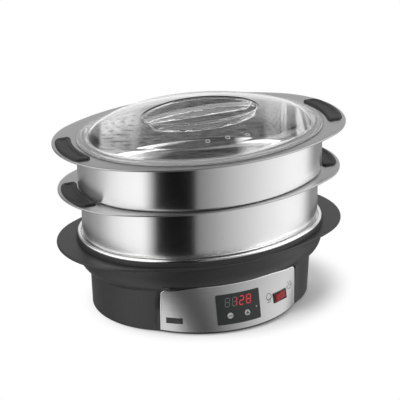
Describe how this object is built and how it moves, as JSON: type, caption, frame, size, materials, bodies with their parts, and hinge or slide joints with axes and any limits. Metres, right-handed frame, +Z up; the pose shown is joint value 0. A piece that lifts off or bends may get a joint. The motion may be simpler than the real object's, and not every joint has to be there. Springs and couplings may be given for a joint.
{
  "type": "food steamer",
  "caption": "Oval electric steamer and egg cooker with stacked steel trays, clear domed lid, dark heated base, tilted brushed control panel, digit display and red rocker switch.",
  "frame": {"origin": "on the table under the middle of the oval", "axes": "+X along the length to the user's right, -Y towards the control panel, +Z up"},
  "size_m": [0.396, 0.2541, 0.2635],
  "materials": {
    "charcoal_plastic": "satin moulded charcoal plastic with a fine grain",
    "brushed_fascia": "brushed silver plate with lengthwise grain",
    "dark_window": "smoked glossy window",
    "digit_block": "dark segment block with red digits",
    "circuit_board": "green lacquered board",
    "zinc_steel": "zinc-plated steel",
    "black_plastic": "black moulded plastic",
    "thermostat_shell": "pressed aluminium cup",
    "transformer_core": "varnished laminated core",
    "red_rocker": "translucent red plastic",
    "grey_button": "light grey plastic",
    "polished_steel": "polished stainless steel",
    "perforated_steel": "satin stainless sheet with a hole pattern",
    "satin_flange": "satin brushed steel with a bright rolled edge",
    "heater_aluminium": "die-cast aluminium",
    "element_sheath": "dull steel sheath",
    "gland_rubber": "black rubber",
    "grip_rubber": "dark soft rubber with fine grooves",
    "foot_rubber": "dark rubber",
    "clear_lid": "clear moulded lid"
  },
  "bodies": {
    "base": {"base_housing": "charcoal_plastic", "fascia_plate": "brushed_fascia", "display_window": "dark_window", "control_board": "circuit_board", "board_screws": "zinc_steel", "digit_display": "digit_block", "key_switches": "black_plastic", "rocker_case": "black_plastic", "rocker_pin": "zinc_steel", "water_tank": "polished_steel", "heater_plate": "heater_aluminium", "heating_element": "element_sheath", "heater_nuts": "zinc_steel", "thermostat": "thermostat_shell", "thermal_fuse": "black_plastic", "base_plate": "charcoal_plastic", "base_screws": "zinc_steel", "foot_1": "foot_rubber", "foot_2": "foot_rubber", "foot_3": "foot_rubber", "foot_4": "foot_rubber", "power_board": "circuit_board", "transformer": "transformer_core", "relay": "black_plastic", "cord_gland": "gland_rubber"},
    "lower_tray": {"lower_bowl": "polished_steel", "lower_floor": "perforated_steel", "lower_flange": "satin_flange", "lower_left_grip": "grip_rubber", "lower_right_grip": "grip_rubber"},
    "upper_tray": {"upper_bowl": "polished_steel", "upper_floor": "perforated_steel", "upper_flange": "satin_flange", "upper_left_grip": "grip_rubber", "upper_right_grip": "grip_rubber"},
    "lid": {"lid": "clear_lid"},
    "minus_button": {"minus_button": "grey_button"},
    "plus_button": {"plus_button": "grey_button"},
    "rocker": {"rocker_paddle": "red_rocker"}
  },
  "joints": [
    {"name": "lower_tray_lift", "type": "slide", "parent": "base", "child": "lower_tray", "axis": [0, 0, 1], "range_m": [0, 0.1]},
    {"name": "upper_tray_lift", "type": "slide", "parent": "lower_tray", "child": "upper_tray", "axis": [0, 0, 1], "range_m": [0, 0.1]},
    {"name": "lid_lift", "type": "slide", "parent": "upper_tray", "child": "lid", "axis": [0, 0, 1], "range_m": [0, 0.1]},
    {"name": "minus_press", "type": "slide", "parent": "base", "child": "minus_button", "axis": [0.0772, 0.9632, -0.2573], "range_m": [0, 0.0008], "stiffness_N_per_m": 300},
    {"name": "plus_press", "type": "slide", "parent": "base", "child": "plus_button", "axis": [-0.0772, 0.9632, -0.2573], "range_m": [0, 0.0008], "stiffness_N_per_m": 300},
    {"name": "rocker_tip", "type": "hinge", "parent": "base", "child": "rocker", "pos_m": [0.06363, -0.10199, 0.02932], "axis": [-0.0635, 0.137, 0.9885], "range_deg": [-16, 0]}
  ]
}
